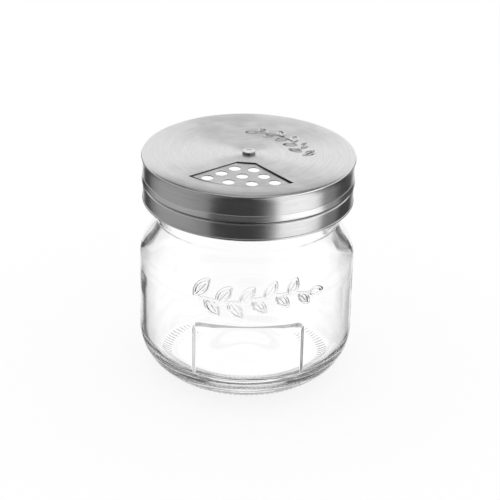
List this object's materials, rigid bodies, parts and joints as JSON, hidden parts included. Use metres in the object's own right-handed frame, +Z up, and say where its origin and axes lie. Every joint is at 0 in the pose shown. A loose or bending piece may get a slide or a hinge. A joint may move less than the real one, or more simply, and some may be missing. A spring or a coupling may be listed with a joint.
{
  "type": "storage jar",
  "caption": "Squat clear glass jar with a raised label panel, closed by a steel screw cap whose turning cover opens a wedge window over pouring holes.",
  "frame": {"origin": "centre of the ring that the jar stands on", "axes": "+Z up along the jar's axis, -Y out of the label panel"},
  "size_m": [0.084, 0.0846, 0.0916],
  "materials": {
    "clear_glass": "clear, polished",
    "cap_steel": "brushed in circles",
    "dial_steel": "brushed in circles",
    "rivet_steel": "bright turned",
    "seal_silicone": "matt translucent white",
    "insert_plastic": "moulded satin",
    "glide_nylon": "satin",
    "spring_steel": "satin",
    "washer_steel": "satin"
  },
  "bodies": {
    "jar": {"glass_jar": "clear_glass"},
    "seal": {"seal_ring": "seal_silicone"},
    "cap": {"screw_cap": "cap_steel", "thread_insert": "insert_plastic", "pivot_rivet": "rivet_steel", "glide_washer": "glide_nylon", "disc_spring": "spring_steel", "retaining_washer": "washer_steel"},
    "dial": {"dial_cover": "dial_steel"}
  },
  "joints": [
    {"name": "cap_rise", "type": "slide", "parent": "jar", "child": "seal", "axis": [0, 0, 1], "range_m": [0, 0.02]},
    {"name": "cap_turn", "type": "hinge", "parent": "seal", "child": "cap", "pos_m": [0, 0, 0.0891], "axis": [0, 0, 1], "range_deg": [0, 1440]},
    {"name": "dial_turn", "type": "hinge", "parent": "cap", "child": "dial", "pos_m": [0, 0, 0.0904], "axis": [0, 0, 1], "continuous": true}
  ],
  "couplings": [
    {"joint": "cap_rise", "follows": "cap_turn", "m_per_rad": 0.00079577}
  ]
}
